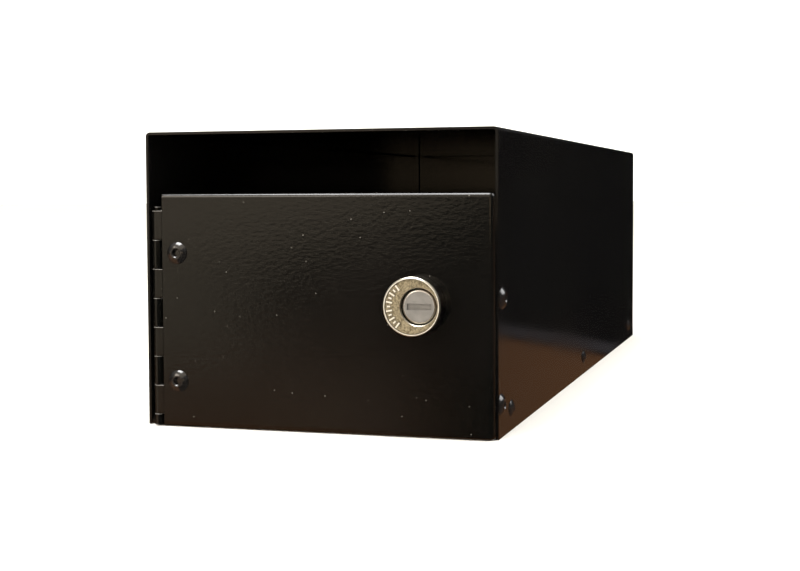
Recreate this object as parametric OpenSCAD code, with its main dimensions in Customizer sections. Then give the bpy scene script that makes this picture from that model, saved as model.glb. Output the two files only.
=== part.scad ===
// Sheet-steel parcel drop box: an open slot over a piano-hinged door with a cam lock.
// Millimetres. +Z is up, the door faces -Y, and the origin is the middle of the base.

/* [Cabinet] */
// Width over the side walls
shell_w = 158; // [145:1:240]
// Depth from the front edges to the back
shell_d = 432; // [320:1:600]
// Height over the top sheet
shell_h = 128.5; // [118:0.5:220]
// Thickness of the cabinet and door sheet
sheet_t = 1.2; // [1:0.1:1.6]
// Inside radius of the sheet bends
bend_r = 0.8; // [0.5:0.1:1.2]
// Height of the floor tray's side flanges
floor_flange_h = 15; // [14:0.5:24]
// Length left without a floor flange at the front, for the hinge and the strike
flange_relief = 18; // [17.5:0.5:19]
// Depth of the back panel's side flanges
back_flange_l = 12; // [8:0.5:14]

/* [Door] */
// Clear height of the parcel slot over the door
slot_h = 25.5; // [18:0.1:30]
// Depth of the door pan, front face to flange edge
door_pan_d = 3.6; // [3.4:0.1:5]
// Gap between the door flange and the cabinet's front edges
door_gap = 0.6; // [0.5:0.1:1.2]
// How far the free edge of the door stays inside the side wall's outer face
door_inset = 1; // [0.5:0.1:2]
// Height of the door's lower edge over the base
door_lift = 0.4; // [0.3:0.1:1.5]
// Gap between the hinge barrel and the door's hinged edge
door_edge_gap = 0.9; // [0.6:0.1:2]

/* [Hinge] */
// Length of one hinge knuckle, with its share of the gap
knuckle_l = 12.7; // [10:0.1:15]
// Thickness of the hinge leaves
leaf_t = 1; // [0.8:0.1:1.2]
// Diameter of the hinge pin
pin_d = 2.4; // [2:0.1:3]
// Distance from the door's top down to the top knuckle
hinge_drop = 7.4; // [5:0.1:15]
// Thickness of the bar that sets the hinge off the side wall
spacer_t = 2.9; // [2.4:0.1:3.2]
// Width of the hinge leaf behind the door
door_leaf_w = 20; // [18:0.5:26]
// Width of the hinge leaf along the side wall
frame_leaf_w = 14; // [13:0.5:14.5]
// Radial clearance of the pin in the knuckles
pin_clearance = 0.05; // [0.03:0.01:0.08]

/* [Lock] */
// Distance of the lock axis from the right wall's outer face
lock_from_side = 30.3; // [29:0.1:34]
// Height of the lock axis
lock_z = 55.3; // [42:0.1:60]
// Diameter of the guard collar
collar_d = 24.4; // [24:0.1:26]
// How far the collar stands out of the door
collar_h = 9.2; // [8.5:0.1:12]
// Offset of the collar's centre from the lock axis
collar_offset = 3; // [2:0.1:3.1]
// Diameter of the plug's head
plug_d = 14.7; // [14:0.1:14.8]
// Diameter of the plug behind its head
core_d = 12.6; // [12.2:0.1:13]
// Radial clearance of the plug in its bore
plug_clearance = 0.06; // [0.04:0.01:0.08]
// Diameter of the threaded barrel
barrel_d = 17; // [16.8:0.1:17.4]
// Width of the barrel across its two flats
barrel_flats = 15.6; // [15.4:0.1:16]
// Length of the barrel from the door's front face
barrel_l = 19.5; // [18:0.1:20]
// Width of the keyway
keyway_w = 10.2; // [9:0.1:10.4]
// Height of the keyway
keyway_h = 2.5; // [2.2:0.1:2.6]
// Reach of the cam from the lock axis
cam_reach = 25; // [22:0.5:26]
// Width of the cam
cam_w = 13; // [11:0.5:14]
// Thickness of the cam
cam_t = 2; // [1.6:0.1:2.5]

/* [Strike] */
// Thickness of the strike bracket
strike_t = 1.5; // [1.2:0.1:2]
// How far the strike reaches in from the side wall
strike_w = 13.5; // [12:0.5:14]
// Distance from the door's top down to the strike's top
strike_drop = 8.2; // [4:0.1:20]
// Gap between the strike and the cam behind it
latch_gap = 0.5; // [0.3:0.1:1]

/* [Fasteners] */
// Shank diameter of the button-head screws
screw_d = 5; // [4.5:0.1:5.2]
// Head diameter of the button-head screws
screw_head_d = 9.5; // [8.8:0.1:10]
// Head height of the button-head screws
screw_head_h = 1.6; // [1.4:0.1:2.8]
// Width across the flats of the hex socket
socket_af = 3; // [2.8:0.1:3.6]
// Width across the flats of the screws' nuts
nut_af = 8; // [7.8:0.1:9]
// Thickness of the screws' nuts
nut_h = 3.8; // [2.8:0.1:4]
// Shank diameter of the blind rivets
rivet_d = 4; // [3:0.1:4.2]
// Head diameter of the blind rivets
rivet_head_d = 7.9; // [6.4:0.1:8.4]
// Height of the lower screws in the side walls
side_screw_low = 14; // [13:0.5:16]
// Height of the upper screws in the side walls
side_screw_high = 58; // [50:0.5:70]
// Distance of the lower strike screw from the front edge
strike_screw_low_y = 5; // [4.8:0.1:8]
// Distance of the upper strike screw from the front edge
strike_screw_high_y = 7.4; // [4.8:0.1:8]
// Distance of the hinge screws from the front edge
hinge_screw_y = 7; // [6.8:0.1:8]
// Distance between the two screws in the door
door_screw_gap = 55.8; // [40:0.2:62]
// Height of the middle of the two door screws
door_screw_mid = 48; // [45:0.2:52]
// Distance of the door screws from the hinge pin
door_screw_x = 10.2; // [10:0.1:12]
// Height of the floor rivets
rivet_z = 9.4; // [8.5:0.1:10]
// Distance of the end rivets from the front and the back
rivet_inset = 25; // [23:0.5:40]

/* [Mounting holes] */
// Diameter of the holes in the floor
mount_hole_d = 6.5; // [5:0.1:9]
// Distance between the holes across the width
mount_hole_x = 100; // [80:1:110]
// Distance between the holes along the depth
mount_hole_y = 280; // [150:1:290]

/* [Hidden] */
$fn = 64;

black = "#141312";
steel = "#9a9a98";
bronze = "#8d8164";
zinc = "#b5b2aa";

cut = 1;                 // overshoot of every cutting shape
hole_clearance = 0.05;   // radial clearance of screws and rivets in their holes
bend_out = bend_r + sheet_t;
front_y = -shell_d / 2;
back_y = shell_d / 2;
wall_in = shell_w / 2 - sheet_t;   // X of a side wall's inner face
front_setback = 0.6;     // pieces behind the door stay this far behind the front edges
joint_gap = 0.4;         // gap round the hinge barrel

// door pan
door_y = front_y - door_gap - door_pan_d;          // front face of the door
door_back_y = door_y + sheet_t;                    // back face of the door sheet
door_top = shell_h - sheet_t - slot_h;
door_right = shell_w / 2 - door_inset;

// hinge
barrel_od = pin_d + 2 * leaf_t;
frame_leaf_x = -wall_in + spacer_t;                // outer face of the leaf on the wall
hinge_x = frame_leaf_x + barrel_od / 2;
hinge_y = door_y + barrel_od / 2;                  // the barrel is flush with the door's face
hinge_top = door_top - hinge_drop;
hinge_bottom = door_lift;
hinge_h = hinge_top - hinge_bottom;
knuckle_count = ceil(hinge_h / knuckle_l);
knuckle_gap = 0.45;      // axial gap between knuckles
pin_tip = 1.5;           // pin end that stands out over the top knuckle
door_left = hinge_x + barrel_od / 2 + door_edge_gap;
strap_end = door_left;                             // the leaf's straps fill up to the door's edge
door_leaf_end = hinge_x + door_leaf_w;
frame_leaf_end = front_y + frame_leaf_w;
spacer_front = front_y + 3;
spacer_end = frame_leaf_end - 0.5;
leaf_foot = bend_out + 0.3;                        // the wall leaf stands clear of the floor's bend
floor_front = hinge_y + barrel_od / 2 + joint_gap;

// lock, measured along Y from the door's front face
lock_x = shell_w / 2 - lock_from_side;
collar_x = lock_x - collar_offset;
collar_y = door_y - collar_h;
plug_recess = 1.1;       // plug face behind the collar's rim
face_recess = 0.4;       // collar face behind its rim
rim_w = 0.8;
counterbore_d = plug_d + 0.7;
counterbore_l = 2.4;
mouth = 0.25;            // chamfer round the counterbore
edge_r = 1.3;            // rounding of the plug's front edge
barrel_end = door_y + barrel_l;
stop_t = 1;              // stop washer and the lug it meets
end_play = 0.2;
stop_y = barrel_end + end_play;
cam_y = stop_y + stop_t;
drive_w = 7;             // square end of the plug
drive_fit = 0.05;
shoulder_l = 7;          // length of the plug's wide head
keyway_l = 24;
shutter_depth = 1;       // shutter face behind the plug's face
shutter_t = 0.5;
shutter_fit = 0.12;
shutter_pin_r = 0.35;
wafer_count = 7;
wafer_pitch = 1.9;
wafer_t = 0.9;
wafer_fit = 0.06;
wafer_h = 4.4;
wafer_first = 8;         // first wafer behind the collar's rim
stop_tab = 34;           // angle of the stop washer's tab
stop_play = 3;
lock_turn = 90;
washer_t = 0.8;
lock_nut_af = 21;
lock_nut_h = 4;
cam_washer_d = 12;
cam_screw_d = 4;
cam_screw_head_af = 8;
cam_screw_head_h = 3;
cam_screw_l = 8;

// strike
strike_back = cam_y - latch_gap;
strike_bottom = 5;
strike_top = door_top - strike_drop;

door_screw_low = door_screw_mid - door_screw_gap / 2;
door_screw_high = door_screw_mid + door_screw_gap / 2;
door_washer_d = 10;
door_washer_t = 1;
thread_out = 1.2;        // screw end past its nut
side_screw_z = [side_screw_low, side_screw_high];
door_screw_z = [door_screw_low, door_screw_high];
rivet_head_h = 1.4;
rivet_tail_d = 6;
rivet_tail_h = 2.2;
rivet_y = [front_y + rivet_inset, 0, back_y - rivet_inset];

// A square with both upper corners rounded, standing on the X axis.
module round_top(w, h, r) {
    translate([-w / 2, 0]) square([w, h - r]);
    translate([-w / 2 + r, 0]) square([w - 2 * r, h]);
    for (side = [-1, 1]) translate([side * (w / 2 - r), h - r]) circle(r);
}

// Section of a channel of folded sheet, web on top, open below.
module channel(w, h) {
    difference() {
        round_top(w, h, bend_out);
        translate([0, -cut]) round_top(w - 2 * sheet_t, h - sheet_t + cut, bend_r);
    }
}

// Puts a section drawn in X and Z along Y, from y0 to y1.
module along_y(y0, y1) {
    translate([0, y1, 0]) rotate([90, 0, 0]) linear_extrude(y1 - y0) children();
}

module block(x0, x1, y0, y1, z0, z1) {
    translate([x0, y0, z0]) cube([x1 - x0, y1 - y0, z1 - z0]);
}

module rod_x(d, x0, x1) {
    translate([x0, 0, 0]) rotate([0, 90, 0]) cylinder(d = d, h = x1 - x0);
}

module rod_y(d, y0, y1) {
    translate([0, y0, 0]) rotate([-90, 0, 0]) cylinder(d = d, h = y1 - y0);
}

module hex_y(af, y0, y1) {
    translate([0, y0, 0]) rotate([-90, 0, 0]) cylinder(d = af / cos(30), h = y1 - y0, $fn = 6);
}

// Domed head of diameter d and height h over Z 0, its crown cut flat at h.
module dome(d, h, crown) {
    r = (d * d / 4 + crown * crown) / (2 * crown);
    intersection() {
        translate([0, 0, crown - r]) sphere(r);
        cylinder(d = d, h = h);
    }
}

// Button-head socket screw along -Z, head over Z 0.
module button_screw(length) {
    socket_l = 1.8;
    mouth_l = 0.5;
    difference() {
        union() {
            dome(screw_head_d, screw_head_h, screw_head_h + 0.5);
            translate([0, 0, -length]) cylinder(d = screw_d, h = length + 0.1);
        }
        translate([0, 0, screw_head_h - socket_l])
            cylinder(d = socket_af / cos(30), h = socket_l + cut, $fn = 6);
        translate([0, 0, screw_head_h - mouth_l])
            cylinder(r1 = socket_af / 2, r2 = socket_af / 2 + 2 * mouth_l, h = 2 * mouth_l);
    }
}

// Hex nut over Z 0, with its corners turned down.
module hex_nut(af, h, bore) {
    corner = af / cos(30);
    difference() {
        intersection() {
            cylinder(d = corner, h = h, $fn = 6);
            translate([0, 0, -corner]) cylinder(r1 = corner, r2 = corner / 2 - 0.3, h = h + corner);
        }
        translate([0, 0, -cut]) cylinder(d = bore, h = h + 2 * cut);
    }
}

module ring(od, id, h) {
    difference() {
        cylinder(d = od, h = h);
        translate([0, 0, -cut]) cylinder(d = id, h = h + 2 * cut);
    }
}

// Places a fastener drawn along Z on a side wall, its head outwards; side is -1 left or 1 right.
module on_wall(side, x, y, z) {
    translate([side * x, y, z]) rotate([0, side * 90, 0]) children();
}

// Places a fastener drawn along Z on the door, its head to the front.
module on_door(x, y, z) {
    translate([x, y, z]) rotate([90, 0, 0]) children();
}

function strike_screw_y(z) = front_y + (z == side_screw_low ? strike_screw_low_y : strike_screw_high_y);
function has_frame_knuckle(i) = i % 2 == 1;
function knuckle_z1(i) = hinge_top - i * knuckle_l;
function knuckle_z0(i) = max(knuckle_z1(i) - knuckle_l, hinge_bottom);

// One leaf's share of the barrel: odd knuckles for the frame, even ones for the door.
module knuckles(frame) {
    for (i = [0 : knuckle_count - 1])
        if (has_frame_knuckle(i) == frame)
            translate([hinge_x, hinge_y, knuckle_z0(i) + knuckle_gap / 2])
                cylinder(d = barrel_od, h = knuckle_z1(i) - knuckle_z0(i) - knuckle_gap);
}

// Room in one leaf for the other leaf's knuckles.
module knuckle_room(frame) {
    reach = barrel_od / 2 + joint_gap;
    for (i = [0 : knuckle_count - 1])
        if (has_frame_knuckle(i) != frame)
            block(hinge_x - reach, hinge_x + reach, hinge_y - reach, hinge_y + reach,
                  i == knuckle_count - 1 ? hinge_bottom - cut : knuckle_z0(i) - knuckle_gap / 2,
                  i == 0 ? hinge_top + cut : knuckle_z1(i) + knuckle_gap / 2);
}

// Swaged ends of the door leaf: each brings a knuckle forward, flush with the door's face.
module straps() {
    for (i = [0 : knuckle_count - 1])
        if (!has_frame_knuckle(i)) {
            z0 = knuckle_z0(i) + knuckle_gap / 2;
            z1 = knuckle_z1(i) - knuckle_gap / 2;
            block(hinge_x, strap_end, door_y, door_y + leaf_t, z0, z1);
            block(strap_end - leaf_t, strap_end, door_y, door_back_y + leaf_t, z0, z1);
        }
}

module pin_bore() {
    translate([hinge_x, hinge_y, hinge_bottom - cut])
        cylinder(r = pin_d / 2 + pin_clearance, h = hinge_h + 2 * cut);
}

// Top and both sides, one folded sheet.
module shell() {
    color(black) difference() {
        along_y(front_y, back_y) channel(shell_w, shell_h);
        for (z = side_screw_z) {
            on_wall(1, wall_in - cut, strike_screw_y(z), z)
                cylinder(r = screw_d / 2 + hole_clearance, h = sheet_t + 2 * cut);
            on_wall(-1, wall_in - cut, front_y + hinge_screw_y, z)
                cylinder(r = screw_d / 2 + hole_clearance, h = sheet_t + 2 * cut);
        }
        rivet_holes();
    }
}

module rivet_holes() {
    for (side = [-1, 1], y = rivet_y)
        on_wall(side, wall_in - sheet_t - cut, y, rivet_z)
            cylinder(r = rivet_d / 2 + hole_clearance, h = 2 * sheet_t + 2 * cut);
}

// Floor with a flange up each side wall and four mounting holes.
module floor_tray() {
    y0 = floor_front;
    y1 = back_y - sheet_t;
    flange_end = y1 - back_flange_l - front_setback;
    color(black) difference() {
        translate([0, 0, floor_flange_h]) mirror([0, 0, 1])
            along_y(y0, y1) channel(2 * wall_in, floor_flange_h);
        for (end = [[y0 - cut, front_y + flange_relief], [flange_end, y1 + cut]])
            block(-wall_in - cut, wall_in + cut, end[0], end[1], bend_out, floor_flange_h + cut);
        rivet_holes();
        for (x = [-1, 1], y = [-1, 1])
            translate([x * mount_hole_x / 2, y * mount_hole_y / 2, -cut])
                cylinder(d = mount_hole_d, h = sheet_t + 2 * cut);
    }
}

// Back with a flange forward along each side wall.
module back_panel() {
    corner_fit = 0.2;
    y0 = back_y - sheet_t - back_flange_l;
    color(black) difference() {
        intersection() {
            translate([0, y0, 0]) linear_extrude(shell_h) channel(2 * wall_in, back_y - y0);
            along_y(y0 - cut, back_y + cut)
                round_top(2 * wall_in, shell_h - sheet_t, bend_r + corner_fit);
        }
        block(-wall_in - cut, wall_in + cut, y0 - cut, back_y - sheet_t, -cut, bend_out + corner_fit);
    }
}

// Outline of the door in X and Z, its two free corners rounded.
module door_outline(x0, x1, z0, z1, r) {
    translate([x0, z0]) square([x1 - r - x0, z1 - z0]);
    translate([x0, z0 + r]) square([x1 - x0, z1 - z0 - 2 * r]);
    for (z = [z0 + r, z1 - r]) translate([x1 - r, z]) circle(r);
}

// Door block whose front edges are rounded at the top, the bottom and the free side.
module door_block(x0, x1, y0, y1, z0, z1, r) {
    along_y(y0 + r, y1) door_outline(x0, x1, z0, z1, r);
    block(x0, x1 - r, y0, y0 + r, z0 + r, z1 - r);
    for (z = [z0 + r, z1 - r]) {
        translate([0, y0 + r, z]) rod_x(2 * r, x0, x1 - r);
        translate([x1 - r, y0 + r, z]) sphere(r);
    }
    translate([x1 - r, y0 + r, z0 + r]) cylinder(r = r, h = z1 - z0 - 2 * r);
}

// Door pan: face with a flange back at the top, the bottom and the free side.
module door_panel() {
    barrel_fit = 0.1;
    color(black) difference() {
        door_block(door_left, door_right, door_y, door_y + door_pan_d, door_lift, door_top, bend_out);
        door_block(door_left - cut, door_right - sheet_t, door_back_y, door_y + door_pan_d + cut,
                   door_lift + sheet_t, door_top - sheet_t, bend_r);
        block(door_left - cut, door_leaf_end + 1, door_back_y, door_y + door_pan_d + cut,
              door_lift - cut, door_lift + bend_out);
        translate([lock_x, 0, lock_z])
            barrel_section(barrel_fit, door_y - cut, door_back_y + cut);
        for (z = door_screw_z) translate([hinge_x + door_screw_x, 0, z])
            rod_y(screw_d + 2 * hole_clearance, door_y - cut, door_back_y + cut);
    }
}

// Leaf on the side wall, with every second knuckle.
module hinge_frame_leaf() {
    color(black) difference() {
        union() {
            difference() {
                block(frame_leaf_x, frame_leaf_x + leaf_t, hinge_y, frame_leaf_end, leaf_foot, hinge_top);
                knuckle_room(true);
            }
            knuckles(true);
        }
        pin_bore();
        for (z = side_screw_z)
            on_wall(-1, -frame_leaf_x - leaf_t - cut, front_y + hinge_screw_y, z)
                cylinder(r = screw_d / 2 + hole_clearance, h = leaf_t + 2 * cut);
    }
}

// Leaf behind the door, with the other knuckles.
module hinge_door_leaf() {
    color(black) difference() {
        union() {
            difference() {
                block(strap_end - leaf_t, door_leaf_end, door_back_y, door_back_y + leaf_t,
                      hinge_bottom, hinge_top);
                knuckle_room(false);
            }
            knuckles(false);
            straps();
        }
        pin_bore();
        for (z = door_screw_z) translate([hinge_x + door_screw_x, 0, z])
            rod_y(screw_d + 2 * hole_clearance, door_back_y - cut, door_back_y + leaf_t + cut);
    }
}

module hinge_pin() {
    color(black) translate([hinge_x, hinge_y, hinge_bottom])
        cylinder(d = pin_d, h = hinge_h + pin_tip);
}

// Bar between the side wall and its hinge leaf.
module hinge_spacer() {
    color(black) difference() {
        block(-wall_in, frame_leaf_x, spacer_front, spacer_end, leaf_foot, hinge_top);
        for (z = side_screw_z)
            on_wall(-1, -frame_leaf_x - cut, front_y + hinge_screw_y, z)
                cylinder(r = screw_d / 2 + hole_clearance, h = spacer_t + 2 * cut);
    }
}

// Angle on the right wall; the cam turns behind its inner leg.
module strike_bracket() {
    color(black) difference() {
        union() {
            block(wall_in - strike_t, wall_in, front_y + front_setback, strike_back,
                  strike_bottom, strike_top);
            block(wall_in - strike_w, wall_in - strike_t / 2, strike_back - strike_t, strike_back,
                  strike_bottom, strike_top);
        }
        for (z = side_screw_z)
            on_wall(1, wall_in - strike_t - cut, strike_screw_y(z), z)
                cylinder(r = screw_d / 2 + hole_clearance, h = strike_t + 2 * cut);
    }
}

module door_screws() {
    length = sheet_t + leaf_t + door_washer_t + nut_h + thread_out;
    color(black) for (z = door_screw_z)
        on_door(hinge_x + door_screw_x, door_y, z) button_screw(length);
}

module door_washers() {
    color(steel) for (z = door_screw_z)
        on_door(hinge_x + door_screw_x, door_back_y + leaf_t + door_washer_t, z)
            ring(door_washer_d, screw_d + 2 * hole_clearance, door_washer_t);
}

module door_nuts() {
    color(steel) for (z = door_screw_z)
        on_door(hinge_x + door_screw_x, door_back_y + leaf_t + door_washer_t, z)
            mirror([0, 0, 1]) hex_nut(nut_af, nut_h, screw_d + 2 * hole_clearance);
}

module hinge_screws() {
    length = sheet_t + spacer_t + leaf_t + nut_h + thread_out;
    color(black) for (z = side_screw_z)
        on_wall(-1, shell_w / 2, front_y + hinge_screw_y, z) button_screw(length);
}

module hinge_nuts() {
    color(steel) for (z = side_screw_z)
        on_wall(-1, -frame_leaf_x - leaf_t, front_y + hinge_screw_y, z)
            mirror([0, 0, 1]) hex_nut(nut_af, nut_h, screw_d + 2 * hole_clearance);
}

module strike_screws() {
    length = sheet_t + strike_t + nut_h + thread_out;
    color(black) for (z = side_screw_z)
        on_wall(1, shell_w / 2, strike_screw_y(z), z) button_screw(length);
}

module strike_nuts() {
    color(steel) for (z = side_screw_z)
        on_wall(1, wall_in - strike_t, strike_screw_y(z), z)
            mirror([0, 0, 1]) hex_nut(nut_af, nut_h, screw_d + 2 * hole_clearance);
}

// Blind rivets through the side walls and the floor flanges.
module floor_rivets() {
    dimple_d = 2.2;
    grip = 2 * sheet_t;
    color(black) for (side = [-1, 1], y = rivet_y)
        on_wall(side, shell_w / 2, y, rivet_z) difference() {
            union() {
                dome(rivet_head_d, rivet_head_h, rivet_head_h);
                translate([0, 0, -grip - 0.1]) cylinder(d = rivet_d, h = grip + 0.2);
                translate([0, 0, -grip - rivet_tail_h]) cylinder(d = rivet_tail_d, h = rivet_tail_h);
            }
            translate([0, 0, rivet_head_h - 0.6]) cylinder(d = dimple_d, h = cut);
        }
}

// Barrel of the lock between y0 and y1, with a flat above and below, grown all round by fit.
module barrel_section(fit, y0, y1) {
    intersection() {
        rod_y(barrel_d + 2 * fit, y0, y1);
        block(-barrel_d, barrel_d, y0, y1, -barrel_flats / 2 - fit, barrel_flats / 2 + fit);
    }
}

// A sector of a ring round Z, from angle a0 to a0 + sweep, with sweep under 350.
module ring_sector(r0, r1, a0, sweep, h) {
    far = 2 * r1;
    steps = 8;
    linear_extrude(h) intersection() {
        difference() {
            circle(r1);
            circle(r0);
        }
        polygon(concat([[0, 0]], [for (i = [0 : steps]) let (a = a0 + sweep * i / steps)
                                  far * [cos(a), sin(a)]]));
    }
}

// Collar and threaded barrel of the lock, one casting.
module lock_housing() {
    head_bore = plug_d + 2 * plug_clearance;
    bore = core_d + 2 * plug_clearance;
    rest_angle = 90;     // the tab points down at rest
    lug_start = rest_angle + stop_tab / 2 + stop_play;
    lug_sweep = 360 - lock_turn - stop_tab - 2 * stop_play;
    mark_count = 11;
    mark_step = 10.5;
    color(bronze) {
        difference() {
            union() {
                translate([collar_x, 0, lock_z]) collar_blank();
                translate([lock_x, 0, lock_z]) barrel_section(0, door_y - 0.1, barrel_end);
                translate([lock_x, barrel_end - 0.1, lock_z]) rotate([-90, 0, 0])
                    ring_sector(bore / 2 + 0.1, barrel_flats / 2 - 0.2, lug_start, lug_sweep, stop_t + 0.1);
            }
            translate([lock_x, 0, lock_z]) {
                rod_y(bore, collar_y, barrel_end + stop_t + cut);
                rod_y(head_bore, collar_y - cut, collar_y + shoulder_l);
                rod_y(counterbore_d, collar_y - cut, collar_y + counterbore_l);
                translate([0, collar_y + face_recess - mouth, 0]) rotate([-90, 0, 0])
                    cylinder(d1 = counterbore_d + 4 * mouth, d2 = counterbore_d, h = 2 * mouth);
            }
        }
        for (i = [0 : mark_count - 1])
            let (a = 180 + (i - (mark_count - 1) / 2) * mark_step, long = i % 2 == 0)
                translate([collar_x, collar_y + face_recess, lock_z]) rotate([0, -a, 0])
                    translate([collar_d / 2 - rim_w - (long ? 3.1 : 2.5), -0.32, -0.35])
                        cube([long ? 2.6 : 1.4, 0.5, 0.7]);
    }
}

// Collar with a chamfered rim that stands up round its face.
module collar_blank() {
    rim_edge = 0.4;
    difference() {
        union() {
            rod_y(collar_d, collar_y + rim_edge, door_y);
            translate([0, collar_y, 0]) rotate([-90, 0, 0])
                cylinder(d1 = collar_d - 2 * rim_edge, d2 = collar_d, h = rim_edge);
        }
        rod_y(collar_d - 2 * rim_w, collar_y - cut, collar_y + face_recess);
    }
}

module lock_washer() {
    color(steel) translate([lock_x, door_back_y + washer_t, lock_z]) rotate([90, 0, 0])
        ring(lock_nut_af + 1, barrel_d + 0.4, washer_t);
}

module lock_nut() {
    color(steel) translate([lock_x, door_back_y + washer_t, lock_z]) rotate([-90, 0, 0])
        hex_nut(lock_nut_af, lock_nut_h, barrel_d + 2 * hole_clearance);
}

module in_lock() {
    translate([lock_x, 0, lock_z]) children();
}

// Head of the plug over Z 0, its lower edge rounded.
module plug_head(length) {
    rotate_extrude() {
        square([plug_d / 2 - edge_r, length]);
        translate([0, edge_r]) square([plug_d / 2, length - edge_r]);
        translate([plug_d / 2 - edge_r, edge_r]) intersection() {
            circle(edge_r);
            translate([-0.1, -edge_r]) square(edge_r + 0.1);
        }
    }
}

// Plug with its keyway, its wafer slots and a square end for the cam.
module lock_plug() {
    face = collar_y + plug_recess;
    drive_end = cam_y + cam_t - 0.2;
    pocket_l = shutter_h() + 1.2;
    color(zinc) in_lock() difference() {
        union() {
            translate([0, face, 0]) rotate([-90, 0, 0]) plug_head(collar_y + shoulder_l - end_play - face);
            rod_y(core_d, face + edge_r, barrel_end);
            block(-drive_w / 2, drive_w / 2, barrel_end - 0.1, drive_end, -drive_w / 2, drive_w / 2);
        }
        block(-keyway_w / 2, keyway_w / 2, face - cut, face + keyway_l, -keyway_h / 2, keyway_h / 2);
        translate([0, face + shutter_depth - 0.2, 0])
            block(-shutter_w() / 2 - shutter_fit, shutter_w() / 2 + shutter_fit, 0, pocket_l,
                  -keyway_h / 2 - 0.3, shutter_pin_z() + shutter_pin_r + 0.3);
        for (i = [0 : wafer_count - 1])
            block(-plug_d, plug_d, wafer_y(i) - wafer_fit, wafer_y(i) + wafer_t + wafer_fit,
                  -wafer_h / 2 - wafer_fit, wafer_h / 2 + wafer_fit);
        rod_y(cam_screw_d + 2 * hole_clearance, drive_end - cam_screw_l - 1, drive_end + cut);
    }
}

function shutter_w() = keyway_w + 0.8;
function shutter_pin_z() = keyway_h / 2 + shutter_pin_r + 0.1;
function shutter_h() = shutter_pin_z() + keyway_h / 2 + 0.05;
function wafer_y(i) = collar_y + wafer_first + i * wafer_pitch;

// Sprung wafers, each a plate with a window for the key.
module lock_wafers() {
    wafer_w = core_d - 0.6;
    window_w = keyway_w - 1.2;
    window_h = keyway_h + 0.2;
    color("#b79a4e") in_lock() for (i = [0 : wafer_count - 1])
        let (shift = (i % 3 - 1) * 0.5) difference() {
            block(-wafer_w / 2, wafer_w / 2, wafer_y(i), wafer_y(i) + wafer_t, -wafer_h / 2, wafer_h / 2);
            block(shift - window_w / 2, shift + window_w / 2, wafer_y(i) - cut,
                  wafer_y(i) + wafer_t + cut, -window_h / 2, window_h / 2);
        }
}

// Flap that closes the keyway, hung on its own pin.
module key_shutter() {
    y = collar_y + plug_recess + shutter_depth;
    z = shutter_pin_z();
    color(zinc) in_lock() {
        block(-shutter_w() / 2, shutter_w() / 2, y, y + shutter_t, z - shutter_h(), z);
        translate([0, y + shutter_pin_r, z]) rod_x(2 * shutter_pin_r, -shutter_w() / 2, shutter_w() / 2);
    }
}

// Washer on the square drive; its tab meets the housing's lug at both ends of the turn.
module stop_washer() {
    color(steel) in_lock() difference() {
        translate([0, stop_y, 0]) rotate([-90, 0, 0]) {
            cylinder(d = core_d - 0.8, h = stop_t);
            ring_sector(drive_w / 2, barrel_flats / 2, 90 - stop_tab / 2, stop_tab, stop_t);
        }
        drive_hole(stop_y - cut, stop_y + stop_t + cut);
    }
}

module drive_hole(y0, y1) {
    w = drive_w / 2 + drive_fit;
    block(-w, w, y0, y1, -w, w);
}

// Cam, pointing down when unlocked.
module lock_cam() {
    tail = 8;
    color(steel) in_lock() difference() {
        along_y(cam_y, cam_y + cam_t) {
            circle(d = 2 * tail);
            translate([-cam_w / 2, -cam_reach + 2]) square([cam_w, cam_reach - 2]);
            translate([-cam_w / 2 + 2, -cam_reach]) square([cam_w - 4, 3]);
            for (x = [-1, 1]) translate([x * (cam_w / 2 - 2), -cam_reach + 2]) circle(2);
        }
        drive_hole(cam_y - cut, cam_y + cam_t + cut);
    }
}

module cam_washer() {
    color(steel) translate([lock_x, cam_y + cam_t, lock_z]) rotate([-90, 0, 0])
        ring(cam_washer_d, cam_screw_d + 2 * hole_clearance, 1);
}

module cam_screw() {
    head_y = cam_y + cam_t + 1;
    color(steel) in_lock() {
        rod_y(cam_screw_d, head_y - cam_screw_l, head_y + 0.1);
        hex_y(cam_screw_head_af, head_y, head_y + cam_screw_head_h);
    }
}

shell();
floor_tray();
back_panel();
door_panel();
hinge_frame_leaf();
hinge_door_leaf();
hinge_pin();
hinge_spacer();
strike_bracket();
door_screws();
door_washers();
door_nuts();
hinge_screws();
hinge_nuts();
strike_screws();
strike_nuts();
floor_rivets();
lock_housing();
lock_washer();
lock_nut();
lock_plug();
lock_wafers();
key_shutter();
stop_washer();
lock_cam();
cam_washer();
cam_screw();
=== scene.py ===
import math

import bpy
from mathutils import Matrix, Vector


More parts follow.
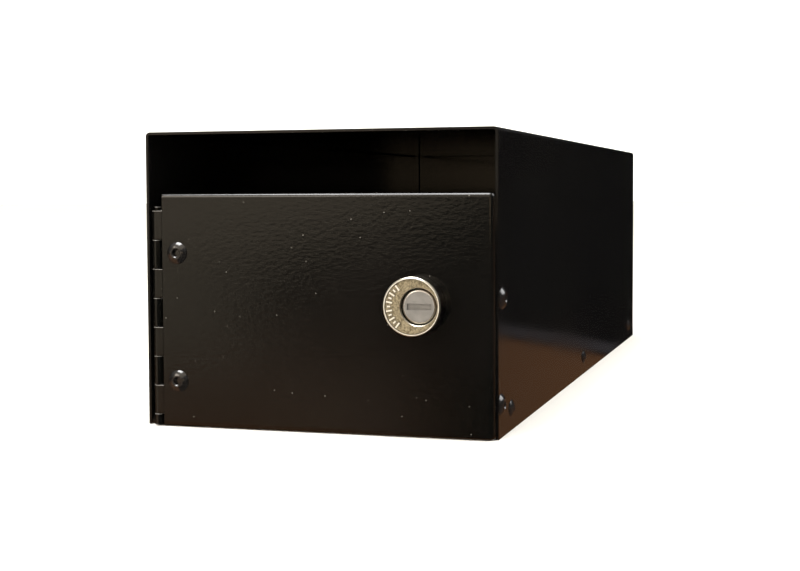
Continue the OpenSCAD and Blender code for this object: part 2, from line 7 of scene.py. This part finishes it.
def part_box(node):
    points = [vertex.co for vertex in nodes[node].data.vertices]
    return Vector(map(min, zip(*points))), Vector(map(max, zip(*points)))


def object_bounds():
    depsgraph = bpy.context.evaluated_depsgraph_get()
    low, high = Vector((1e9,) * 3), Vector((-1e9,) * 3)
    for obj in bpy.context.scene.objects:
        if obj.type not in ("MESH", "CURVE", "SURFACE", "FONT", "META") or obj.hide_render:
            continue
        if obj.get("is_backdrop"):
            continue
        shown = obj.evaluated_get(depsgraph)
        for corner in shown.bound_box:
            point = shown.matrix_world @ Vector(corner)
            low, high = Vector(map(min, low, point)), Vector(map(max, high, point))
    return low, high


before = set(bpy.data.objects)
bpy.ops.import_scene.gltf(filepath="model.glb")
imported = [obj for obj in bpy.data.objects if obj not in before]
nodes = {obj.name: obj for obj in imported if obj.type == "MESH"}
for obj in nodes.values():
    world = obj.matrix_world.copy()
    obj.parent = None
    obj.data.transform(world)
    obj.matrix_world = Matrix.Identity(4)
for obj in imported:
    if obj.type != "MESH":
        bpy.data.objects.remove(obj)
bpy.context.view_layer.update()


# The cabinet: top, sides, floor and back of 1.2 mm mild steel, folded, riveted and powder coated.
# The coat is a glossy black polyester that flows out into a fine orange peel, so a lamp's edge
# breaks up in it, and every sheet edge is rounded by the coat and catches a thin line of light.
MM = 0.001


def linear(code):
    values = [int(code[i:i + 2], 16) / 255 for i in (1, 3, 5)]
    return [v / 12.92 if v <= 0.04045 else ((v + 0.055) / 1.055) ** 2.4 for v in values] + [1]


def add(tree, kind, inputs=None, **settings):
    node = tree.nodes.new(kind)
    for name, value in settings.items():
        setattr(node, name, value)
    for name, value in (inputs or {}).items():
        if isinstance(value, bpy.types.Node):
            value = next(socket for socket in value.outputs if socket.enabled)
        if isinstance(value, bpy.types.NodeSocket):
            tree.links.new(value, node.inputs[name])
        else:
            node.inputs[name].default_value = value
    return node


def new_finish(name, roughness, metallic=0.0):
    finish = bpy.data.materials.new(name)
    finish.use_nodes = True
    tree = finish.node_tree
    shader = tree.nodes["Principled BSDF"]
    shader.inputs["Roughness"].default_value = roughness
    shader.inputs["Metallic"].default_value = metallic
    place = add(tree, "ShaderNodeTexCoord").outputs["Object"]
    return finish, tree, shader, place


def feed(tree, shader, name, node):
    tree.links.new(node.outputs["Normal" if name == "Normal" else "Result"], shader.inputs[name])


def mottle(tree, pattern, low, high, dark, light):
    share = add(tree, "ShaderNodeMapRange", {"Value": pattern, "From Min": low, "From Max": high})
    return add(tree, "ShaderNodeMix", {"Factor": share, "A": dark, "B": light}, data_type="RGBA")


def wear(node, finish):
    mesh = nodes[node].data
    mesh.materials.clear()
    mesh.materials.append(finish)


# The peel sags sideways, so it is drawn out along X and Y. Fine pale specks of dust are caught in it.
def powder_coat(name, base, worn, roughness, peel_mm, peel_depth, dust, edge_mm=0.3):
    finish, tree, shader, place = new_finish(name, roughness)
    sagged = add(tree, "ShaderNodeMapping", {"Vector": place, "Scale": (0.6, 0.6, 1.0)})
    peel = add(tree, "ShaderNodeTexNoise", {
        "Vector": sagged, "Scale": 1 / (peel_mm * MM), "Detail": 2.0, "Roughness": 0.5})
    cloud = add(tree, "ShaderNodeTexNoise", {"Vector": place, "Scale": 1 / (60 * MM), "Detail": 3.0})
    rounded = add(tree, "ShaderNodeBevel", {"Radius": edge_mm * MM}, samples=4)
    feed(tree, shader, "Normal", add(tree, "ShaderNodeBump", {
        "Height": peel, "Distance": peel_depth * MM, "Strength": 1.0, "Normal": rounded}))
    cells = add(tree, "ShaderNodeTexVoronoi", {
        "Vector": place, "Scale": 1 / (6 * MM), "Randomness": 1.0})
    speck = add(tree, "ShaderNodeMapRange", {
        "Value": cells, "From Min": 0.05, "From Max": 0.03, "To Max": dust})
    tone = mottle(tree, cloud, 0.3, 0.7, linear(base), linear(worn))
    feed(tree, shader, "Base Color", add(tree, "ShaderNodeMix", {
        "Factor": speck, "A": tone, "B": linear("#8e8a82")}, data_type="RGBA"))
    feed(tree, shader, "Roughness", add(tree, "ShaderNodeMapRange", {
        "Value": cloud, "From Min": 0.3, "From Max": 0.7,
        "To Min": roughness - 0.03, "To Max": roughness + 0.03}))
    return finish


cabinet_black = powder_coat("black_powder_coat", "#0b0a0a", "#0f0e0d", roughness=0.07,
                            peel_mm=2.0, peel_depth=0.008, dust=0.12)
for node in ("shell", "floor_tray", "back_panel", "strike_bracket", "hinge_spacer"):
    wear(node, cabinet_black)


# The door: a pan folded from the same sheet and coated in its own batch, a shade warmer and less
# glossy than the cabinet, with a deeper peel and more dust in the coat.
wear("door_panel", powder_coat("warm_black_powder_coat", "#070706", "#0b0a09", roughness=0.1,
                               peel_mm=1.5, peel_depth=0.036, dust=0.5))


# The continuous hinge: rolled steel leaves on a steel pin, painted over with the box. Upward-facing
# knuckle ends and edges get a pale painted highlight, so each knuckle is parted by a thin pale line.
hinge_black = powder_coat("painted_hinge_steel", "#070706", "#0b0a09", roughness=0.12,
                          peel_mm=1.4, peel_depth=0.015, dust=0.1, edge_mm=0.5)
tree = hinge_black.node_tree
shader = tree.nodes["Principled BSDF"]
painted = shader.inputs["Base Color"].links[0].from_socket
# painted highlight: knuckle ends and edges that face up are made pale, standing in for light from above
rounded = add(tree, "ShaderNodeBevel", {"Radius": 0.5 * MM}, samples=8)
upward_facing_highlight = add(tree, "ShaderNodeSeparateXYZ", {"Vector": rounded})
feed(tree, shader, "Base Color", mottle(tree, upward_facing_highlight.outputs["Z"], 0.25, 0.5, painted, linear("#8d8a86")))
for node in ("hinge_frame_leaf", "hinge_door_leaf", "hinge_pin"):
    wear(node, hinge_black)


# Button-head screws of blackened steel, lightly oiled, so their crowns catch sharp highlights.
# The blind rivets are aluminium, painted black over the head.
def blackened(name, base, roughness):
    finish, tree, shader, place = new_finish(name, roughness)
    grain = add(tree, "ShaderNodeTexNoise", {"Vector": place, "Scale": 1 / (0.5 * MM), "Detail": 3.0})
    feed(tree, shader, "Base Color", mottle(tree, grain, 0.3, 0.7, linear(base), linear("#1c1a19")))
    rounded = add(tree, "ShaderNodeBevel", {"Radius": 0.2 * MM}, samples=4)
    feed(tree, shader, "Normal", add(tree, "ShaderNodeBump", {
        "Height": grain, "Distance": 0.015 * MM, "Strength": 0.5, "Normal": rounded}))
    shader.inputs["Coat Weight"].default_value = 0.5
    shader.inputs["Coat Roughness"].default_value = 0.08
    shader.inputs["Specular IOR Level"].default_value = 0.6
    return finish


screw_black = blackened("black_oxide_steel", "#0c0b0b", 0.18)
for node in ("door_screws", "hinge_screws", "strike_screws"):
    wear(node, screw_black)
wear("floor_rivets", blackened("painted_rivet_aluminium", "#100f0e", 0.22))


# Nuts, washers and the cam: pressed or turned steel with bright zinc plate, slightly clouded, so
# they shine unevenly, in soft pale patches.
def plated(name, base, cloudy, roughness):
    finish, tree, shader, place = new_finish(name, roughness, metallic=1.0)
    cloud = add(tree, "ShaderNodeTexNoise", {"Vector": place, "Scale": 1 / (3 * MM), "Detail": 4.0})
    feed(tree, shader, "Base Color", mottle(tree, cloud, 0.35, 0.65, linear(base), linear(cloudy)))
    feed(tree, shader, "Roughness", add(tree, "ShaderNodeMapRange", {
        "Value": cloud, "From Min": 0.3, "From Max": 0.7,
        "To Min": roughness - 0.06, "To Max": roughness + 0.1}))
    return finish


bright_zinc = plated("bright_zinc_plate", "#c6c7c4", "#a7a9a8", 0.3)
for node in ("door_washers", "door_nuts", "hinge_nuts", "strike_nuts", "lock_washer", "lock_nut",
             "stop_washer", "lock_cam", "cam_washer", "cam_screw"):
    wear(node, bright_zinc)


# The lock's housing: die-cast zinc with a thin bronze-grey plate. The sunk face keeps the mould's
# grain, with painted shade darkening its hollows; the rim and the mouth round the plug are rubbed
# bright, the raised bars are rubbed bright and made near white as a painted highlight, and the side
# of the collar is dark plate with pale scuffs.
collar_low, collar_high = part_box("lock_housing")
plug_low, plug_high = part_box("lock_plug")
LOCK_X = (plug_low[0] + plug_high[0]) / 2
LOCK_Z = (collar_low[2] + collar_high[2]) / 2
PLUG_R = (plug_high[0] - plug_low[0]) / 2
MOUTH_R = PLUG_R + 0.6 * MM
COLLAR_R = (collar_high[2] - collar_low[2]) / 2
COLLAR_X = collar_low[0] + COLLAR_R
COLLAR_FRONT = collar_low[1]


def away_from(tree, place, x, z):
    flat = add(tree, "ShaderNodeMapping", {
        "Vector": place, "Location": (-x, 0, -z), "Scale": (1, 0, 1)})
    return add(tree, "ShaderNodeVectorMath", {0: flat}, operation="LENGTH").outputs["Value"]


# An amount that is whole only where each value is past its second limit, and none before its first.
def where(tree, *limits, amount=1.0):
    for value, none_at, whole_at in limits:
        amount = add(tree, "ShaderNodeMapRange", {
            "Value": value, "From Min": none_at, "From Max": whole_at, "To Max": amount})
    return amount


casting, tree, shader, place = new_finish("bronze_plated_zinc_casting", 0.42)
depth = add(tree, "ShaderNodeSeparateXYZ", {"Vector": place}).outputs["Y"]
from_middle = away_from(tree, place, COLLAR_X, LOCK_Z)
from_plug = away_from(tree, place, LOCK_X, LOCK_Z)
on_rim = where(tree, (from_middle, COLLAR_R - 0.5 * MM, COLLAR_R - 0.35 * MM),
               (depth, COLLAR_FRONT + 1.0 * MM, COLLAR_FRONT + 0.6 * MM))
on_bar = where(tree, (depth, COLLAR_FRONT + 0.3 * MM, COLLAR_FRONT + 0.15 * MM))
on_mouth = where(tree, (from_plug, MOUTH_R + 0.1 * MM, MOUTH_R),
                 (depth, COLLAR_FRONT + 1.0 * MM, COLLAR_FRONT + 0.8 * MM))
on_side = where(tree, (from_middle, COLLAR_R - 0.3 * MM, COLLAR_R - 0.1 * MM),
                (depth, COLLAR_FRONT + 0.8 * MM, COLLAR_FRONT + 1.2 * MM))
rubbed = add(tree, "ShaderNodeMath", {0: on_rim, 1: on_mouth}, operation="MAXIMUM")
bare = add(tree, "ShaderNodeMath", {0: rubbed, 1: on_side}, operation="MAXIMUM")
grain = add(tree, "ShaderNodeTexNoise", {
    "Vector": place, "Scale": 1 / (0.8 * MM), "Detail": 4.0, "Roughness": 0.7})
scuffs = add(tree, "ShaderNodeTexNoise", {
    "Vector": place, "Scale": 1 / (1.8 * MM), "Detail": 5.0, "Roughness": 0.8})
# painted shade: the face is darkened where it is occluded, in its hollows and round the bars
corner = add(tree, "ShaderNodeAmbientOcclusion", {"Distance": 0.9 * MM}, samples=8)
tan = mottle(tree, grain, 0.35, 0.65, linear("#655a44"), linear("#b5a98c"))
painted_hollow_shade = mottle(tree, corner.outputs["AO"], 0.45, 0.95, linear("#241f18"), tan)
side = mottle(tree, scuffs, 0.52, 0.66, linear("#6d6964"), linear("#c9c5be"))
tone = painted_hollow_shade
# the bars' near-white colour is rubbed metal and in part a painted highlight
for share, colour in ((on_bar, linear("#efe9da")), (rubbed, linear("#d9d3c4")), (on_side, side)):
    tone = add(tree, "ShaderNodeMix", {"Factor": share, "A": tone, "B": colour}, data_type="RGBA")
feed(tree, shader, "Base Color", tone)
feed(tree, shader, "Metallic", add(tree, "ShaderNodeMapRange", {"Value": bare, "To Min": 0.6}))
feed(tree, shader, "Roughness", add(tree, "ShaderNodeMapRange", {
    "Value": bare, "To Min": 0.5, "To Max": 0.3}))
smooth = add(tree, "ShaderNodeMapRange", {"Value": rubbed, "To Min": 0.7, "To Max": 0.02})
feed(tree, shader, "Normal", add(tree, "ShaderNodeBump", {
    "Height": grain, "Distance": 0.12 * MM, "Strength": smooth}))
wear("lock_housing", casting)


# The plug: turned zinc with satin nickel plate; its rounded edge is polished by the key ring.
# The keyway's flap has the same plate, and the wafers behind it are stamped brass.
satin, tree, shader, place = new_finish("satin_nickel_plate", 0.45)
from_plug = away_from(tree, place, LOCK_X, LOCK_Z)
grain = add(tree, "ShaderNodeTexNoise", {"Vector": place, "Scale": 1 / (0.4 * MM), "Detail": 3.0})
blotch = add(tree, "ShaderNodeTexNoise", {"Vector": place, "Scale": 1 / (4 * MM), "Detail": 2.0})
plate = mottle(tree, blotch, 0.3, 0.7, linear("#7f7c78"), linear("#918e89"))
polished = where(tree, (from_plug, PLUG_R - 1.2 * MM, PLUG_R - 0.7 * MM))
feed(tree, shader, "Base Color", add(tree, "ShaderNodeMix", {
    "Factor": polished, "A": plate, "B": linear("#e6e3dd")}, data_type="RGBA"))
feed(tree, shader, "Metallic", add(tree, "ShaderNodeMapRange", {"Value": polished, "To Min": 0.5}))
feed(tree, shader, "Roughness", add(tree, "ShaderNodeMapRange", {
    "Value": polished, "To Min": 0.5, "To Max": 0.28}))
feed(tree, shader, "Normal", add(tree, "ShaderNodeBump", {
    "Height": grain, "Distance": 0.02 * MM, "Strength": 0.4}))
for node in ("lock_plug", "key_shutter"):
    wear(node, satin)
wear("lock_wafers", plated("stamped_brass", "#b79a4e", "#a1863e", 0.3))


# The studio: a pale floor that runs on past the view, a pale backdrop all round, and large soft lamps.
# Floor and backdrop don't show in the gloss: it sees dim surroundings, brown below the horizon, near
# black above, and a broad pale screen that fades in towards the upper left of the front.
def studio_white(name, code, glow):
    finish = bpy.data.materials.new(name)
    finish.use_nodes = True
    shader = finish.node_tree.nodes["Principled BSDF"]
    shader.inputs["Base Color"].default_value = linear(code)
    shader.inputs["Roughness"].default_value = 0.9
    shader.inputs["Emission Color"].default_value = linear(code)
    shader.inputs["Emission Strength"].default_value = glow
    return finish


bpy.ops.object.select_all(action="DESELECT")
bpy.ops.mesh.primitive_circle_add(vertices=96, radius=12, fill_type="NGON", location=(0, 0, 0))
floor = bpy.context.object
floor.name = "studio_floor"
floor.data.materials.append(studio_white("studio_floor_white", "#dcdad6", 0.0))
bpy.ops.mesh.primitive_uv_sphere_add(segments=64, ring_count=32, radius=12, location=(0, 0, 0))
dome = bpy.context.object
dome.name = "studio_backdrop"
dome.data.materials.append(studio_white("studio_backdrop_white", "#f2f1ee", 0.75))
for thing in (floor, dome):
    thing.visible_glossy = False
    thing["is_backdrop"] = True

# What the gloss sees all round: X, Y and Z of the direction, from -1 to 1.
world = bpy.data.worlds.new("studio_surroundings")
bpy.context.scene.world = world
world.use_nodes = True
sky = world.node_tree
outward = add(sky, "ShaderNodeTexCoord").outputs["Generated"]
axes = add(sky, "ShaderNodeSeparateXYZ", {"Vector": outward})
east, north, up = axes.outputs["X"], axes.outputs["Y"], axes.outputs["Z"]
in_front = (north, 0.0, -0.5)

# the ground: a warm brown to the front left and, past a pale edge that runs off at a slant, behind
slant = add(sky, "ShaderNodeMath", {0: east, 1: -0.171, 2: up}, operation="MULTIPLY_ADD")
front_left = where(sky, (north, 0.2, -0.2), (east, -0.22, -0.34), (up, -0.08, -0.17))
behind = where(sky, (slant, -0.1405, -0.1435), (north, -0.2, 0.6), amount=0.34)
ground = add(sky, "ShaderNodeMath", {0: front_left, 1: behind}, operation="ADD")
edge = where(sky, (slant, -0.131, -0.134), (slant, -0.1405, -0.1385), (north, 0.3, 0.6))

# the screen: a smooth slope that climbs to the upper left, in front of the box only
slope = add(sky, "ShaderNodeMath", {0: east, 1: -0.71, 2: up}, operation="MULTIPLY_ADD")
climb = add(sky, "ShaderNodeMapRange", {"Value": slope, "From Min": 0.1, "From Max": 0.34},
            interpolation_type="SMOOTHSTEP")
screen = where(sky, in_front, (east, -0.9, -0.7), amount=climb)

# the room beyond: soft lighter and darker places in front of the door, by middle, width and height
for middle_east, middle_up, wide, high, amount in (
        (-0.36, 0.0, 0.15, 0.07, 0.8), (-0.41, -0.1, 0.1, 0.07, 0.45), (-0.33, -0.16, 0.11, 0.06, 0.5),
        (-0.26, 0.0, 0.1, 0.05, 0.5), (-0.33, -0.075, 0.12, 0.05, -0.75),
        (-0.24, -0.09, 0.09, 0.12, -0.3)):
    spread = add(sky, "ShaderNodeMapping", {
        "Vector": outward, "Location": (-middle_east / wide, 0, -middle_up / high),
        "Scale": (1 / wide, 0, 1 / high)})
    ball = add(sky, "ShaderNodeTexGradient", {"Vector": spread}, gradient_type="QUADRATIC_SPHERE")
    glow = where(sky, (ball.outputs["Fac"], 0.0, 1.0), in_front, amount=amount)
    screen = add(sky, "ShaderNodeMath", {0: screen, 1: glow}, operation="ADD")

# faint light from overhead is added to all of it
overhead = where(sky, (up, 0.1, 0.9), amount=0.35)
shade = mottle(sky, ground, 0.0, 1.0, linear("#080808"), linear("#ae7a52"))
for share, colour in ((edge, linear("#403e40")), (screen, linear("#ead8bd"))):
    shade = add(sky, "ShaderNodeMix", {"Factor": share, "A": shade, "B": colour}, data_type="RGBA")
lit = add(sky, "ShaderNodeMix", {"Factor": 1.0, "A": shade, "B": overhead}, data_type="RGBA",
          blend_type="ADD")
sky.links.new(lit.outputs["Result"], sky.nodes["Background"].inputs["Color"])
sky.nodes["Background"].inputs["Strength"].default_value = 1.0


def lamp(name, place, target, width, height, power, code="#ffffff"):
    data = bpy.data.lights.new(name, "AREA")
    data.shape = "RECTANGLE"
    data.size, data.size_y = width, height
    data.energy = power
    data.color = linear(code)[:3]
    thing = bpy.data.objects.new(name, data)
    bpy.context.scene.collection.objects.link(thing)
    thing.location = place
    aim = Vector(target) - Vector(place)
    thing.rotation_euler = aim.to_track_quat("-Z", "Y").to_euler()
    return thing


lamp("overhead_softbox", (-0.25, -0.45, 1.5), (0, 0, 0), 0.9, 0.8, 30)
lamp("left_softbox", (-0.75, -1.2, 0.8), (0, -0.2, 0.06), 0.8, 0.6, 6, "#fff3e4")
lamp("right_softbox", (0.9, 0.25, 0.75), (0.05, -0.1, 0.05), 0.8, 0.8, 8)
lamp("slot_softbox", (0.35, -1.25, 0.14), (0, 0, 0.1), 0.5, 0.16, 0.26, "#ffe2b8")


# The camera stands at the right, level with the slot, and looks a little to the left and down.
CAMERA_PLACE = (0.2036, -0.7713, 0.1024)
TURN_LEFT, TILT_UP, ROLL = (math.radians(angle) for angle in (16.69, -2.92, 0.27))
lens = bpy.data.cameras.new("camera")
camera = bpy.data.objects.new("camera", lens)
bpy.context.scene.collection.objects.link(camera)
bpy.context.scene.camera = camera
lens.sensor_fit = "HORIZONTAL"
lens.sensor_width = 36
lens.lens = 62.775
lens.shift_y = -0.029375
lens.clip_start = 0.02
turn = Matrix.Rotation(TURN_LEFT, 3, "Z") @ Matrix.Rotation(TILT_UP, 3, "X") @ Matrix.Rotation(ROLL, 3, "Y")
level = Matrix.Rotation(math.radians(90), 3, "X")
camera.matrix_world = Matrix.Translation(CAMERA_PLACE) @ (turn @ level).to_4x4()

bpy.context.scene.view_settings.view_transform = "Standard"
low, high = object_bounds()
